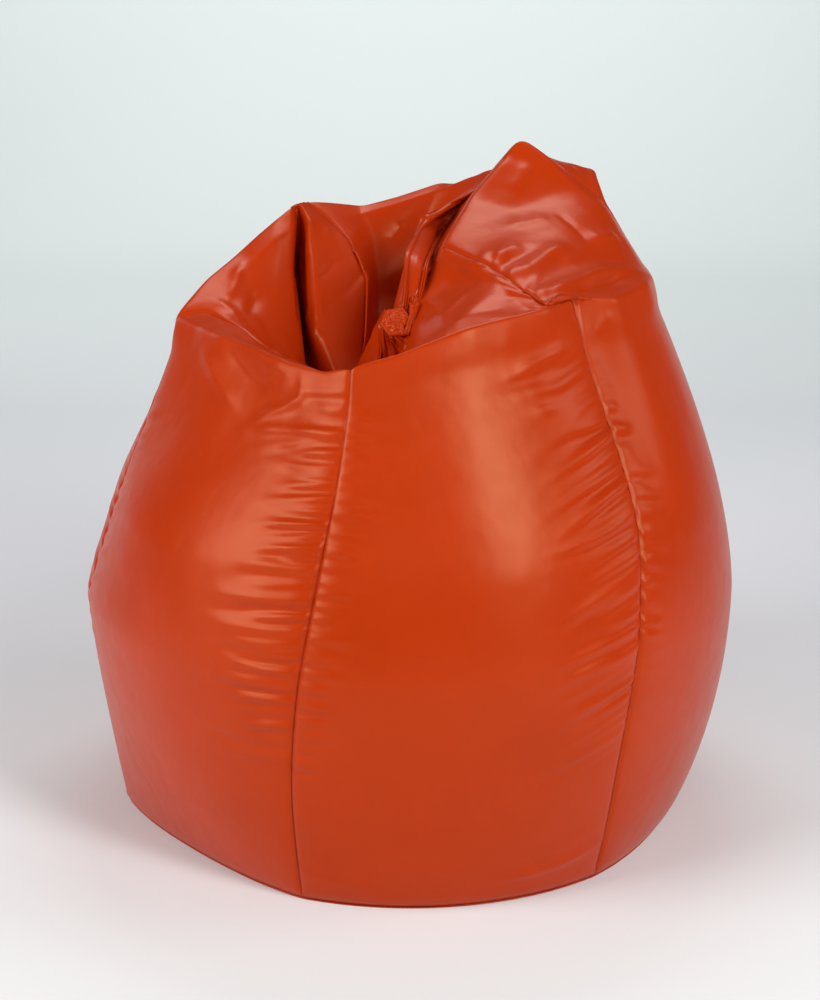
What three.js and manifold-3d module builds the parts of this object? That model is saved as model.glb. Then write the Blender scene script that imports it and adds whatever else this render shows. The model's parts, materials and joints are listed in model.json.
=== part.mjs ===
// Pear-shaped bean bag chair, in millimetres, +Z up, front towards -Y, origin on the floor under the middle.
// Six tall cover panels are sewn edge to edge round a six-sided base and a small six-sided top cap.
// The bag is filled only part way, so the slack top sinks into a hollow with a low front lip and a high
// back. A zip crosses the base between two halves, and a loose liner inside holds the foam beads.

import * as THREE from "three";
import { mergeVertices } from "three/addons/utils/BufferGeometryUtils.js";
import Module from "manifold-3d";

// Cover shape
const PANELS = 6;
const SEAM_TURN = -19; // degrees from the front, towards the right, of the first side seam
const BASE_RADIUS = 384; // at a base corner
const BELLY_RADIUS = 427; // at a seam, at the widest height
const BELLY_HEIGHT = 300;
const FOOT_BOW = 1.5; // power of the curve from the belly down to the floor
const SHOULDER_DROP = 132; // loss of radius over SHOULDER_SPAN of height above the belly
const SHOULDER_SPAN = 400;
const SHOULDER_BOW = 1.41;
const PANEL_FLATNESS = 0.03; // share of the radius that the middle of a panel stands inside its seams

// Rim of the slack top: [degrees from the front towards the right, height]
const RIM = [
  [-80, 678], [-45, 668], [-14, 664], [15, 700], [47, 728], [88, 764],
  [128, 884], [160, 850], [190, 816], [219, 788], [250, 732],
];
const RIM_FOLD = [0.035, 0.14]; // reach of the rim's rounding, as shares of the way down and of the way in
const HOLLOW_SAG = 26; // how far the slack cloth hangs between the rim and the cap

// Top cap, a small six-sided patch that lies tilted in the hollow
const CAP_RADIUS = 34;
const CAP_CENTRE = [-14, -112, 652];
const CAP_TILT = 35; // degrees that it leans towards the front

// Materials of the cover and how it is sewn
const SHEET = 1.4; // coated cloth
const SEAM_ALLOWANCE = 10; // turned in along each side seam
const THREAD = 1.2; // lockstitched thread, as one round line
const CLEARANCE = 0.5; // left between pieces that touch

// Zip across the base, closed at the +X end
const ZIP_LENGTH = 480;
const ZIP_RISE = 8; // how far the cloth beside the zip is lifted off the floor
const ZIP_SLOT = 17; // opening between the two lifted edges
const LIP_WIDTH = 10; // flat stitched edge beside the slot
const LIP_SLOPE = 14; // from the lifted edge down to the floor
const LIP_PAST_END = 10; // level lip past each end of the zip
const TAPE_WIDTH = 15;
const TAPE_THICKNESS = 0.7;
const TAPE_INSET = 1.6; // from the middle of the zip to the tape's edge
const TOOTH_PITCH = 8;
const TOOTH_REACH = 1.6;
const COIL_BACK = 4; // from the middle of the zip to the back of the teeth
const COIL_THICKNESS = 1.8;
const COIL_GAP = 1.1; // straight way between the two rows of teeth
const SLIDER_LENGTH = 15;
const SLIDER_WIDTH = 12.5;
const SLIDER_PLATE = 1.3;
const SLIDER_POST = 0.5;
const BAIL_LENGTH = 9;
const BAIL_WIDTH = 3;
const BAIL_ROOM = 2.8; // height that the pull's end turns in
const BAIL_BAR = 1.2;
const PULL_LENGTH = 34;
const PULL_WIDTH = 10;
const PULL_THICKNESS = 1.4;
const PULL_WINDOW = 8;
const PULL_END_BAR = 1.4;
const PULL_DROOP = 5; // degrees that the pull, laid back along the closed teeth, hangs down
const STOP_LENGTH = 5;

// Liner and filling
const LINER_SHEET = 0.8;
const LINER_ROOM = 6; // between the cover and the liner, away from the seams
const LINER_SHOULDER = 0.78; // height where the liner starts to close, as a share of the lowest rim
const LINER_DOME = 44; // rise of the liner's top above its shoulder
const NECK_RADIUS = 55;
const NECK_HEIGHT = 34;
const TIE_THICKNESS = 4;
const BEAD_ROOM = 0.6;

// Fineness
const BODY_ROWS = 14;
const FOLD_ROWS = 5;
const HOLLOW_ROWS = 6;
const THREAD_SIDES = 6;

const rad = THREE.MathUtils.degToRad;
const lerp = THREE.MathUtils.lerp;

// Places worked out from the sizes above
const capGap = (THREAD + 4 * CLEARANCE) / Math.cos(Math.PI / PANELS); // from a cap corner out to the panels
const footHeight = SHEET + THREAD + 2 * CLEARANCE; // bottom edge of the side panels
const seamGap = THREAD + 2 * CLEARANCE; // between two panels' edges
const lipTop = ZIP_RISE + SHEET;
const tapeLow = lipTop + CLEARANCE;
const tapeHigh = tapeLow + TAPE_THICKNESS;
const coilHigh = tapeLow - CLEARANCE;
const coilLow = coilHigh - COIL_THICKNESS;
const sliderHigh = tapeHigh + CLEARANCE + SLIDER_PLATE;
const sliderLow = coilLow - CLEARANCE - SLIDER_PLATE;
const linerFloor = sliderHigh + CLEARANCE;
const lowestRim = Math.min(...RIM.map(([, height]) => height));
const sliderRest = ZIP_LENGTH / 2 - STOP_LENGTH - CLEARANCE - SLIDER_LENGTH / 2;

const direction = (turn) =>
  new THREE.Vector3(Math.sin(rad(turn)), -Math.cos(rad(turn)), 0);

// Radius of the cover at a seam, at a height.
function seamRadius(height) {
  if (height < BELLY_HEIGHT) {
    const down = (BELLY_HEIGHT - height) / BELLY_HEIGHT;
    return BELLY_RADIUS - (BELLY_RADIUS - BASE_RADIUS) * down ** FOOT_BOW;
  }
  const up = (height - BELLY_HEIGHT) / SHOULDER_SPAN;
  return BELLY_RADIUS - SHOULDER_DROP * up ** SHOULDER_BOW;
}

// Share of the seam radius at a place across a panel: 1 at its seams, less in its middle.
const flattened = (across) => 1 - PANEL_FLATNESS * Math.sin(Math.PI * across);

const turnOf = (panel, across) => SEAM_TURN + ((panel + across) * 360) / PANELS;

// Height of the rim in a direction, as a smooth closed line through RIM.
function rimHeight(turn) {
  const count = RIM.length;
  const offset = THREE.MathUtils.euclideanModulo(turn - RIM[0][0], 360);
  const start = (i) => RIM[i % count][0] - RIM[0][0] + (i >= count ? 360 : 0);
  let i = 0;
  while (start(i + 1) <= offset) i += 1;
  const share = (offset - start(i)) / (start(i + 1) - start(i));
  const eased = share * share * (3 - 2 * share);
  return lerp(RIM[i % count][1], RIM[(i + 1) % count][1], eased);
}

// A corner of the top cap's outline, grown by a margin.
function capCorner(corner, margin) {
  const flat = direction(turnOf(corner, 0)).multiplyScalar(CAP_RADIUS + margin);
  return flat.applyAxisAngle(new THREE.Vector3(1, 0, 0), rad(CAP_TILT)).add(new THREE.Vector3(...CAP_CENTRE));
}

// A point of the cover's outside before its rim is rounded. rise is 0 at the foot, 1 at the rim, 2 at the cap.
function foldedPoint(panel, across, rise) {
  const turn = turnOf(panel, across);
  const height = lerp(footHeight, rimHeight(turn), Math.min(rise, 1));
  const rim = direction(turn).multiplyScalar(seamRadius(height) * flattened(across)).setZ(height);
  if (rise <= 1) return rim;
  const inward = rise - 1;
  const point = rim.lerp(capCorner(panel, capGap).lerp(capCorner(panel + 1, capGap), across), inward);
  point.z -= HOLLOW_SAG * Math.sin(Math.PI * inward) * (1 + across * (1 - across));
  return point;
}

// The same with the rim rounded.
function coverPoint(panel, across, rise) {
  const [low, high] = [1 - RIM_FOLD[0], 1 + RIM_FOLD[1]];
  if (rise <= low || rise >= high) return foldedPoint(panel, across, rise);
  const share = (rise - low) / (high - low);
  const [below, fold, beyond] = [low, 1, high].map((place) => foldedPoint(panel, across, place));
  return below.lerp(fold, share).lerp(fold.clone().lerp(beyond, share), share);
}

// A triangle mesh from a list of points and a list of index triples.
function solid(points, faces) {
  const geometry = new THREE.BufferGeometry().setFromPoints(points);
  geometry.setIndex(faces.flat());
  geometry.computeVertexNormals();
  return geometry;
}

// The outward normal at a grid place, from its neighbours.
function gridNormal(rows, i, j) {
  const last = rows.length - 1;
  const end = rows[i].length - 1;
  const along = rows[i][Math.min(j + 1, end)].clone().sub(rows[i][Math.max(j - 1, 0)]);
  const up = rows[Math.min(i + 1, last)][j].clone().sub(rows[Math.max(i - 1, 0)][j]);
  return along.cross(up).normalize();
}

// A sheet of even thickness whose outside is a grid of points.
function sheetSolid(rows, thickness) {
  const wide = rows[0].length;
  const tall = rows.length;
  const inside = rows.map((row, i) =>
    row.map((p, j) => p.clone().addScaledVector(gridNormal(rows, i, j), -thickness)));
  const points = [...rows.flat(), ...inside.flat()];
  const out = (i, j) => i * wide + j;
  const inner = (i, j) => tall * wide + i * wide + j;
  const faces = [];
  const quad = (a, b, c, d) => faces.push([a, b, c], [a, c, d]);
  for (let i = 0; i < tall - 1; i++)
    for (let j = 0; j < wide - 1; j++) {
      quad(out(i, j), out(i, j + 1), out(i + 1, j + 1), out(i + 1, j));
      quad(inner(i, j), inner(i + 1, j), inner(i + 1, j + 1), inner(i, j + 1));
    }
  for (let j = 0; j < wide - 1; j++) {
    quad(out(0, j), inner(0, j), inner(0, j + 1), out(0, j + 1));
    quad(out(tall - 1, j), out(tall - 1, j + 1), inner(tall - 1, j + 1), inner(tall - 1, j));
  }
  for (let i = 0; i < tall - 1; i++) {
    quad(out(i, 0), out(i + 1, 0), inner(i + 1, 0), inner(i, 0));
    quad(out(i, wide - 1), inner(i, wide - 1), inner(i + 1, wide - 1), out(i + 1, wide - 1));
  }
  return solid(points, faces);
}

// A closed body through rings of points, each running anticlockwise about the way from ring to ring. The
// last ring joins the first when looped; otherwise a fan closes each end.
function ringSolid(rings, looped = false) {
  const wide = rings[0].length;
  const count = rings.length;
  const points = rings.flat();
  const faces = [];
  for (let i = 0; i < count - (looped ? 0 : 1); i++)
    for (let j = 0; j < wide; j++) {
      const [a, b] = [i * wide + j, i * wide + ((j + 1) % wide)];
      const [c, d] = [b, a].map((index) => (index + wide) % points.length);
      faces.push([a, b, c], [a, c, d]);
    }
  if (looped) return solid(points, faces);
  const ends = [rings[0], rings[count - 1]].map((ring) =>
    ring.reduce((sum, p) => sum.add(p), new THREE.Vector3()).divideScalar(wide));
  const last = (count - 1) * wide;
  for (let j = 0; j < wide; j++) {
    const next = (j + 1) % wide;
    faces.push([next, j, count * wide], [last + j, last + next, count * wide + 1]);
  }
  return solid([...points, ...ends], faces);
}

// A bar with a rectangular section, between two corners.
function bar(low, high) {
  const size = high.map((v, i) => v - low[i]);
  const geometry = new THREE.BoxGeometry(...size);
  return geometry.translate(...low.map((v, i) => v + size[i] / 2));
}

// A ring round a thread, from two directions across it. stretch widens it along the second, for a mitre.
function threadRing(centre, first, second, stretch = 1) {
  const ring = [];
  for (let i = 0; i < THREAD_SIDES; i++) {
    const turn = (2 * Math.PI * i) / THREAD_SIDES;
    const point = centre.clone().addScaledVector(first, (THREAD / 2) * Math.cos(turn));
    ring.push(point.addScaledVector(second, (THREAD / 2) * stretch * Math.sin(turn)));
  }
  return ring;
}

const part = new THREE.Group();
const looks = {
  cover: new THREE.MeshStandardMaterial({ color: 0xc8451c, roughness: 0.38 }),
  stitching: new THREE.MeshStandardMaterial({ color: 0xb03a18, roughness: 0.8 }),
  tape: new THREE.MeshStandardMaterial({ color: 0xa83417, roughness: 0.9 }),
  coil: new THREE.MeshStandardMaterial({ color: 0xb8401c, roughness: 0.45 }),
  metal: new THREE.MeshStandardMaterial({ color: 0xb9b6ae, roughness: 0.3, metalness: 1 }),
  liner: new THREE.MeshStandardMaterial({ color: 0xe6e2d8, roughness: 0.85 }),
  beads: new THREE.MeshStandardMaterial({ color: 0xf4f4f2, roughness: 0.9 }),
};

function add(name, geometry, look) {
  const mesh = new THREE.Mesh(geometry, looks[look]);
  mesh.name = name;
  part.add(mesh);
  return mesh;
}

// Places of the rows: from the foot up to the rim's fold, over the fold, and down to the cap.
const rises = [];
const [foldStart, foldEnd] = [1 - RIM_FOLD[0], 1 + RIM_FOLD[1]];
for (let i = 0; i < BODY_ROWS; i++) rises.push((foldStart * i) / BODY_ROWS);
for (let i = 0; i < FOLD_ROWS; i++) rises.push(lerp(foldStart, foldEnd, i / FOLD_ROWS));
for (let i = 0; i <= HOLLOW_ROWS; i++) rises.push(lerp(foldEnd, 2, i / HOLLOW_ROWS));
const acrossPanel = [0, 0.08, 0.3, 0.5, 0.7, 0.92, 1];

// The point, the level direction across and the outward direction of a side seam, which its panels share.
function seamFrame(seam, rise) {
  const step = 0.02;
  const point = coverPoint(seam, 0, rise);
  const side = direction(turnOf(seam, 0) + 90);
  const up = coverPoint(seam, 0, Math.min(rise + step, 2)).sub(coverPoint(seam, 0, Math.max(rise - step, 0)));
  return { point, side, outward: side.clone().cross(up).normalize() };
}

// A row across a panel, stopping short of its seams by half the seam gap, with both edges turned in.
function panelRow(panel, rise) {
  const edge = (seam, sign) => {
    const { point, side, outward } = seamFrame(seam, rise);
    const corner = point.addScaledVector(side, (sign * seamGap) / 2);
    return [corner.clone().addScaledVector(outward, -SEAM_ALLOWANCE), corner];
  };
  const middle = acrossPanel.slice(1, -1).map((across) => coverPoint(panel, across, rise));
  return [...edge(panel, 1), ...middle, ...edge(panel + 1, -1).reverse()];
}

function sidePanels() {
  for (let panel = 0; panel < PANELS; panel++)
    add(`side_panel_${panel + 1}`, sheetSolid(rises.map((rise) => panelRow(panel, rise)), SHEET), "cover");
}

// The thread of each side seam lies between the two turned-in edges, just under the surface.
function sideSeams() {
  for (let seam = 0; seam < PANELS; seam++) {
    const rings = rises.map((rise) => {
      const { point, side, outward } = seamFrame(seam, rise);
      return threadRing(point.addScaledVector(outward, -SEAM_ALLOWANCE / 2), outward, side);
    });
    rings[0].forEach((p) => (p.z += CLEARANCE));
    add(`side_seam_stitching_${seam + 1}`, ringSolid(rings), "stitching");
  }
}

function topCap() {
  const outline = new THREE.Shape();
  for (let corner = 0; corner < PANELS; corner++) {
    const p = direction(turnOf(corner, 0)).multiplyScalar(CAP_RADIUS);
    outline[corner ? "lineTo" : "moveTo"](p.x, p.y);
  }
  const geometry = new THREE.ExtrudeGeometry(outline, { depth: SHEET, bevelEnabled: false });
  const cap = add("top_cap", geometry.translate(0, 0, -SHEET), "cover");
  cap.rotation.x = rad(CAP_TILT);
  cap.position.set(...CAP_CENTRE);
}

const mitre = 1 / Math.cos(Math.PI / PANELS);

// The thread round the cap lies in the gap along its six straight sides.
function capSeam() {
  const tilt = new THREE.Vector3(1, 0, 0);
  const up = new THREE.Vector3(0, 0, 1).applyAxisAngle(tilt, rad(CAP_TILT));
  const rings = [];
  for (let corner = 0; corner < PANELS; corner++) {
    const radial = direction(turnOf(corner, 0)).applyAxisAngle(tilt, rad(CAP_TILT));
    const centre = capCorner(corner, capGap / 2).addScaledVector(up, -SHEET / 2);
    rings.push(threadRing(centre, up, radial, mitre));
  }
  add("cap_seam_stitching", ringSolid(rings, true), "stitching");
}

const baseOutline = (turn) => {
  const across = THREE.MathUtils.euclideanModulo((turn - SEAM_TURN) / (360 / PANELS), 1);
  return seamRadius(0) * flattened(across);
};

function baseSeam() {
  const up = new THREE.Vector3(0, 0, 1);
  const rings = [];
  for (let panel = 0; panel < PANELS; panel++)
    for (const across of acrossPanel.slice(0, -1)) {
      const turn = turnOf(panel, across);
      const radial = direction(turn);
      const centre = radial.clone().multiplyScalar(baseOutline(turn) - THREAD);
      rings.push(threadRing(centre.setZ(SHEET + CLEARANCE + THREAD / 2), up, radial));
    }
  add("base_seam_stitching", ringSolid(rings, true), "stitching");
}

// How far the lip beside the zip is lifted, at a distance along the zip from its middle.
function baseLift(x) {
  const slope = 2 * LIP_SLOPE;
  return ZIP_RISE * THREE.MathUtils.smoothstep(ZIP_LENGTH / 2 + LIP_PAST_END + slope - Math.abs(x), 0, slope);
}

// One half of the base: a flat sheet whose edge beside the zip is lifted.
function baseHalf(name, side) {
  const reach = baseOutline(90) - LIP_WIDTH / 2;
  const liftEnd = ZIP_LENGTH / 2 + LIP_PAST_END + 2 * LIP_SLOPE;
  const half = [0.2, 0.6].map((share) => (share * ZIP_LENGTH) / 2);
  for (let i = 3; i >= 0; i--) half.push(liftEnd - (i * 2 * LIP_SLOPE) / 3);
  for (const share of [0.84, 0.91, 0.96, 0.985, 1]) half.push(share * reach);
  const stations = [...half.map((x) => -x).reverse(), ...half];
  const rows = stations.map((x) => {
    const slot = lerp(CLEARANCE, ZIP_SLOT / 2, baseLift(x) / ZIP_RISE);
    const turn = THREE.MathUtils.radToDeg(Math.asin(x / baseOutline(90)));
    const edge = Math.sqrt(baseOutline(side > 0 ? 180 - turn : turn) ** 2 - x * x);
    const lip = slot + LIP_WIDTH;
    const across = [slot, lip, lip + LIP_SLOPE, lerp(lip + LIP_SLOPE, edge, 0.5), edge];
    const lifts = [1, 1, 0, 0, 0];
    return across.map((y, i) => new THREE.Vector3(x, side * y, lifts[i] * baseLift(x)));
  });
  const facingDown = side < 0 ? rows.reverse() : rows;
  add(name, sheetSolid(facingDown, SHEET), "cover");
}

// A tape of the zip, sewn on top of one half's lifted edge.
function zipTape(name, side) {
  const [near, far] = [TAPE_INSET, TAPE_INSET + TAPE_WIDTH].map((y) => side * y);
  const low = [-ZIP_LENGTH / 2, Math.min(near, far), tapeLow];
  add(name, bar(low, [ZIP_LENGTH / 2, Math.max(near, far), tapeHigh]), "tape");
}

// A row of zip teeth as one toothed strip under the tape's edge; the other row is shifted by half a pitch.
function zipTeeth(name, side) {
  const length = ZIP_LENGTH - 2 * STOP_LENGTH - 2 * CLEARANCE;
  const count = Math.floor(length / TOOTH_PITCH);
  const start = (-count * TOOTH_PITCH) / 2;
  const tip = COIL_GAP / 2;
  const root = tip + TOOTH_REACH;
  const shift = side > 0 ? 0 : TOOTH_PITCH / 2;
  const comb = new THREE.Shape().moveTo(start, COIL_BACK).lineTo(start, root);
  for (let i = 0; i < count; i++) {
    const x = start + i * TOOTH_PITCH + shift / 2;
    comb.lineTo(x + 0.1 * TOOTH_PITCH, root).lineTo(x + 0.2 * TOOTH_PITCH, tip);
    comb.lineTo(x + 0.6 * TOOTH_PITCH, tip).lineTo(x + 0.7 * TOOTH_PITCH, root);
  }
  comb.lineTo(-start, root).lineTo(-start, COIL_BACK);
  const geometry = new THREE.ExtrudeGeometry(comb, { depth: COIL_THICKNESS, bevelEnabled: false });
  const row = add(name, geometry.translate(0, 0, coilLow), "coil");
  if (side < 0) row.rotation.x = Math.PI;
  if (side < 0) row.position.z = coilLow + coilHigh;
}

function zipStop(name, x) {
  const half = COIL_BACK;
  const geometry = bar([-STOP_LENGTH / 2, -half, coilLow], [STOP_LENGTH / 2, half, coilHigh]);
  add(name, geometry, "metal").position.x = x;
}

// The slider's body, drawn as seen from its end: two plates held apart by a thin post.
function sliderBody() {
  const half = SLIDER_WIDTH / 2;
  const post = SLIDER_POST / 2;
  const wall = half - COIL_BACK - 2 * CLEARANCE;
  const lowPlate = sliderLow + SLIDER_PLATE;
  const highPlate = sliderHigh - SLIDER_PLATE;
  const wallTop = coilHigh - CLEARANCE;
  const section = new THREE.Shape();
  section.moveTo(-half, sliderLow).lineTo(half, sliderLow).lineTo(half, wallTop).lineTo(half - wall, wallTop);
  section.lineTo(half - wall, lowPlate).lineTo(post, lowPlate).lineTo(post, highPlate);
  section.lineTo(half, highPlate).lineTo(half, sliderHigh).lineTo(-half, sliderHigh).lineTo(-half, highPlate);
  section.lineTo(-post, highPlate).lineTo(-post, lowPlate).lineTo(wall - half, lowPlate);
  section.lineTo(wall - half, wallTop).lineTo(-half, wallTop);
  const body = new THREE.ExtrudeGeometry(section, { depth: SLIDER_LENGTH, bevelEnabled: false });
  body.translate(0, 0, -SLIDER_LENGTH / 2).applyMatrix4(
    new THREE.Matrix4().makeBasis(new THREE.Vector3(0, 1, 0), new THREE.Vector3(0, 0, 1), new THREE.Vector3(1, 0, 0)));
  return body;
}

const pivotHeight = sliderLow - BAIL_ROOM / 2;

// The bail under the slider, an arch along the zip that the pull's end bar turns in.
function bailOutline() {
  const half = BAIL_LENGTH / 2;
  const leg = BAIL_BAR;
  const low = sliderLow - BAIL_ROOM;
  const root = sliderLow + SLIDER_PLATE / 2;
  const arch = new THREE.Shape().moveTo(-half, root).lineTo(-half, low - BAIL_BAR);
  arch.lineTo(half, low - BAIL_BAR).lineTo(half, root).lineTo(half - leg, root);
  return arch.lineTo(half - leg, low).lineTo(leg - half, low).lineTo(leg - half, root);
}

// Joins two overlapping meshes into one solid.
async function joined(first, second) {
  const wasm = await Module();
  wasm.setup();
  const [body, other] = [first, second].map((geometry) => {
    const bare = new THREE.BufferGeometry().setAttribute("position", geometry.getAttribute("position"));
    const merged = mergeVertices(bare.setIndex(geometry.index), 1e-4);
    return new wasm.Manifold(new wasm.Mesh({
      numProp: 3,
      vertProperties: merged.attributes.position.array,
      triVerts: new Uint32Array(merged.index.array),
    }));
  });
  const mesh = body.add(other).getMesh();
  const geometry = new THREE.BufferGeometry();
  geometry.setAttribute("position", new THREE.BufferAttribute(mesh.vertProperties, mesh.numProp));
  return geometry.setIndex(new THREE.BufferAttribute(mesh.triVerts, 1));
}

async function zipSlider() {
  const bail = new THREE.ExtrudeGeometry(bailOutline(), { depth: BAIL_WIDTH, bevelEnabled: false });
  bail.translate(0, 0, -BAIL_WIDTH / 2).rotateX(Math.PI / 2);
  add("zip_slider", await joined(sliderBody(), bail), "metal").position.x = sliderRest;
}

// The pull: a tab with a window that goes round the bail's near leg.
function zipPull() {
  const half = PULL_WIDTH / 2;
  const arm = (PULL_WIDTH - BAIL_WIDTH) / 2 - 2 * CLEARANCE;
  const back = -PULL_END_BAR / 2;
  const tab = new THREE.Shape().moveTo(back, -half).lineTo(PULL_LENGTH - half, -half);
  tab.absarc(PULL_LENGTH - half, 0, half, -Math.PI / 2, Math.PI / 2, false).lineTo(back, half);
  const window = new THREE.Path().moveTo(-back, arm - half).lineTo(-back, half - arm);
  tab.holes.push(window.lineTo(PULL_WINDOW, half - arm).lineTo(PULL_WINDOW, arm - half));
  const geometry = new THREE.ExtrudeGeometry(tab, { depth: PULL_THICKNESS, bevelEnabled: false, curveSegments: 6 });
  const pull = add("zip_pull", geometry.translate(0, 0, -PULL_THICKNESS / 2), "metal");
  pull.rotation.y = Math.PI - rad(PULL_DROOP);
  pull.position.set(sliderRest, 0, pivotHeight);
}

// A ring round the inside of the cover, drawn in further at the seams to clear the turned-in edges.
function innerRing(height, inset, spread = 1) {
  const ring = [];
  for (let panel = 0; panel < PANELS; panel++)
    for (const across of acrossPanel.slice(0, -1)) {
      const atSeam = across === 0 ? SEAM_ALLOWANCE : SHEET;
      const radius = seamRadius(height) * flattened(across) - atSeam - inset;
      const p = direction(turnOf(panel, across)).multiplyScalar(radius * spread);
      p.z = height;
      ring.push(p);
    }
  return ring;
}

// Rings of the loose bag inside the cover, from its floor up its side and over its domed top.
function bagRings(inset, neckInset) {
  const floor = linerFloor + inset - LINER_ROOM;
  const shoulder = LINER_SHOULDER * lowestRim;
  const sides = 9;
  const rings = [innerRing(floor, inset, 0.5), innerRing(floor, inset + 4 * LINER_ROOM)];
  for (let i = 1; i <= sides; i++) rings.push(innerRing(lerp(floor, shoulder, i / sides), inset));
  const outer = seamRadius(shoulder);
  const neck = NECK_RADIUS - neckInset;
  for (const share of [0.35, 0.7, 1]) {
    const rise = LINER_DOME * Math.sin((share * Math.PI) / 2) - (inset - LINER_ROOM) * share;
    const ring = innerRing(shoulder, inset, lerp(1, neck / outer, share));
    rings.push(ring.map((p) => p.setZ(shoulder + rise)));
  }
  return rings;
}

const raised = (ring, height) => ring.map((p) => p.clone().setZ(height));

// The liner: a thin bag whose gathered neck stays open inside its tie.
function liner() {
  const outside = bagRings(LINER_ROOM, 0);
  const inside = bagRings(LINER_ROOM + LINER_SHEET, LINER_SHEET);
  const neckTop = outside.at(-1)[0].z + NECK_HEIGHT;
  const rings = [...outside, raised(outside.at(-1), neckTop), raised(inside.at(-1), neckTop), ...inside.reverse()];
  add("liner_bag", ringSolid(rings), "liner");
  return neckTop;
}

function linerTie(neckTop) {
  const geometry = new THREE.TorusGeometry(NECK_RADIUS + TIE_THICKNESS / 2 + CLEARANCE, TIE_THICKNESS / 2, 6, 30);
  add("liner_tie", geometry.translate(0, 0, neckTop - NECK_HEIGHT / 2), "stitching");
}

function beadFilling() {
  const inset = LINER_ROOM + LINER_SHEET + BEAD_ROOM;
  add("bead_filling", ringSolid(bagRings(inset, LINER_SHEET + BEAD_ROOM)), "beads");
}

sidePanels();
sideSeams();
topCap();
capSeam();
baseSeam();
baseHalf("base_front_half", -1);
baseHalf("base_rear_half", 1);
zipTape("zip_tape_front", -1);
zipTape("zip_tape_rear", 1);
zipTeeth("zip_teeth_front", -1);
zipTeeth("zip_teeth_rear", 1);
zipStop("zip_stop_closed_end", (ZIP_LENGTH - STOP_LENGTH) / 2);
zipStop("zip_stop_open_end", (STOP_LENGTH - ZIP_LENGTH) / 2);
await zipSlider();
zipPull();
linerTie(liner());
beadFilling();

export default part;
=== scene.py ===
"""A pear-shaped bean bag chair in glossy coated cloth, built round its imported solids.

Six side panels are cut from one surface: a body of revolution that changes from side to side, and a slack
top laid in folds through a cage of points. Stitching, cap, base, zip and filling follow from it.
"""

import json
import math
import random

import bpy
import numpy as np
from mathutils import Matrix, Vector


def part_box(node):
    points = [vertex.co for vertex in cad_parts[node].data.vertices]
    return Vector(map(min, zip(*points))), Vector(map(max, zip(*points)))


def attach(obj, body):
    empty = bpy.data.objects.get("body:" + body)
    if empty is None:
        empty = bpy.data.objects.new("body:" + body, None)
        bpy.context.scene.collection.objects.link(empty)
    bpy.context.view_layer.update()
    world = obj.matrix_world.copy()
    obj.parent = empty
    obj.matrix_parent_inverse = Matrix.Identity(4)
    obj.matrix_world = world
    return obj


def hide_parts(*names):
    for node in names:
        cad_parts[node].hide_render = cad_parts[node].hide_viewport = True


bl_info = {
    "name": "Bean Bag Chair",
    "version": (1, 0, 0),
    "blender": (4, 5, 0),
    "location": "View3D > Sidebar > Bean Bag",
    "description": "Builds a sewn bean bag chair with a slack, folded top, and its studio",
    "category": "Add Mesh",
}

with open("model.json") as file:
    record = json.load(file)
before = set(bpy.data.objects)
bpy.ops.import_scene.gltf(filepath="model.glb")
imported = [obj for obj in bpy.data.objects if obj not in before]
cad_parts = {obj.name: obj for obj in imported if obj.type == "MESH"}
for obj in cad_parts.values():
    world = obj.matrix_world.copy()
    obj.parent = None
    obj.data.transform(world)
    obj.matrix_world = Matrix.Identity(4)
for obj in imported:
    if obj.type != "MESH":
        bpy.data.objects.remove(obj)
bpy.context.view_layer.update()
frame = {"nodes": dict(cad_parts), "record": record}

CM = 0.01
PANELS = 6
BELLY = 0.30  # height of the widest part
# Directions of the side seams at the floor, in degrees from the front towards the right.
SEAM_TURNS = (-20.3, 37.8, 99.3, 159.3, 219.3, 279.3)
CORNERED_SEAM = 5  # the seam on the left whose edge stands out as a corner
CORNER_REACH = 26  # degrees either side of it
FOOT = 0.0035  # height where the side panels turn under
FOOT_FLATS = (0.0, 0.022, 0.022, 0.026, 0.026, 0.034)  # how far each panel's foot lies inside a round one

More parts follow.
